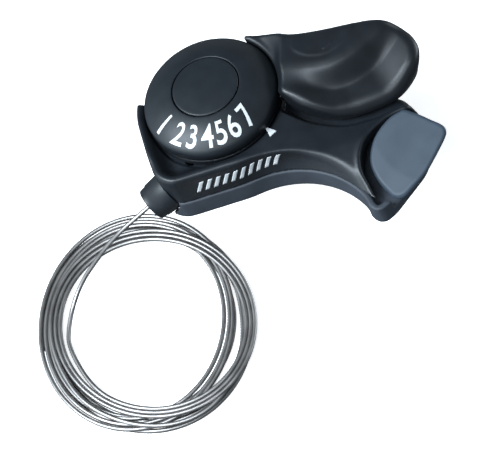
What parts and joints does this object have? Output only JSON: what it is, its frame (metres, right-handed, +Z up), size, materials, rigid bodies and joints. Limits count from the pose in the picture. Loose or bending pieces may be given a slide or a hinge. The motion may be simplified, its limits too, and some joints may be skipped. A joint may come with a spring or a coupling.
{
  "type": "bicycle thumb shifter",
  "caption": "Black thumb shifter with a numbered dial that turns with its lever, a blue-grey release trigger, a handlebar clamp and a coiled inner cable.",
  "frame": {"origin": "centre of the handlebar clamp's bore", "axes": "+X along the handlebar towards the grip, +Y forwards, +Z up and along the dial's axis"},
  "size_m": [0.123, 0.0947, 0.0479],
  "materials": {
    "black_shell": "satin moulded plastic, fine texture",
    "black_skirt": "matt moulded plastic",
    "lever_black": "satin moulded plastic",
    "dial_black": "satin moulded plastic with printed numerals",
    "trigger_blue_grey": "satin to gloss moulded plastic",
    "clamp_black": "black painted steel band",
    "screw_steel": "plated steel",
    "spring_steel": "spring steel",
    "plate_steel": "stamped and plated steel",
    "inner_white_plastic": "natural acetal",
    "cable_steel": "galvanised stranded wire"
  },
  "bodies": {
    "housing": {"upper_housing": "black_shell", "lower_housing": "black_skirt", "handlebar_clamp": "clamp_black", "clamp_screw": "screw_steel", "clamp_nut": "screw_steel", "bracket_screws": "screw_steel", "housing_screws": "screw_steel", "mechanism_plate": "plate_steel", "main_axle": "screw_steel", "axle_washer": "screw_steel", "axle_nut": "screw_steel", "wave_washer": "spring_steel", "trigger_pin": "screw_steel", "pawl_pin": "screw_steel", "return_spring": "spring_steel", "trigger_spring": "spring_steel", "pawl_spring": "spring_steel", "cable_stop": "black_shell", "cable_liner": "inner_white_plastic", "cable_inner_run": "cable_steel", "cable_lead": "cable_steel", "cable_coil": "cable_steel"},
    "lever": {"thumb_lever": "lever_black", "dial_ring": "dial_black", "centre_cap": "dial_black", "dial_screws": "screw_steel", "hub_bush": "inner_white_plastic", "cable_drum": "inner_white_plastic", "ratchet_wheel": "plate_steel", "cable_head": "cable_steel"},
    "trigger": {"release_trigger": "trigger_blue_grey", "trigger_arm": "plate_steel"},
    "pawl": {"holding_pawl": "plate_steel"}
  },
  "joints": [
    {"name": "lever_turn", "type": "hinge", "parent": "housing", "child": "lever", "pos_m": [-0.008, -0.009, 0.025], "axis": [0, 0, 1], "range_deg": [0, 102]},
    {"name": "trigger_press", "type": "hinge", "parent": "housing", "child": "trigger", "pos_m": [0.034, -0.029, 0.0182], "axis": [0, 0, -1], "range_deg": [0, 5], "stiffness_Nm_per_rad": 0.06, "springref_deg": -20.05},
    {"name": "pawl_rock", "type": "hinge", "parent": "housing", "child": "pawl", "pos_m": [0.012, -0.025, 0.0182], "axis": [0, 0, 1], "range_deg": [0, 12]}
  ],
  "couplings": [
    {"joint": "pawl_rock", "follows": "trigger_press", "ratio": 2.3}
  ]
}
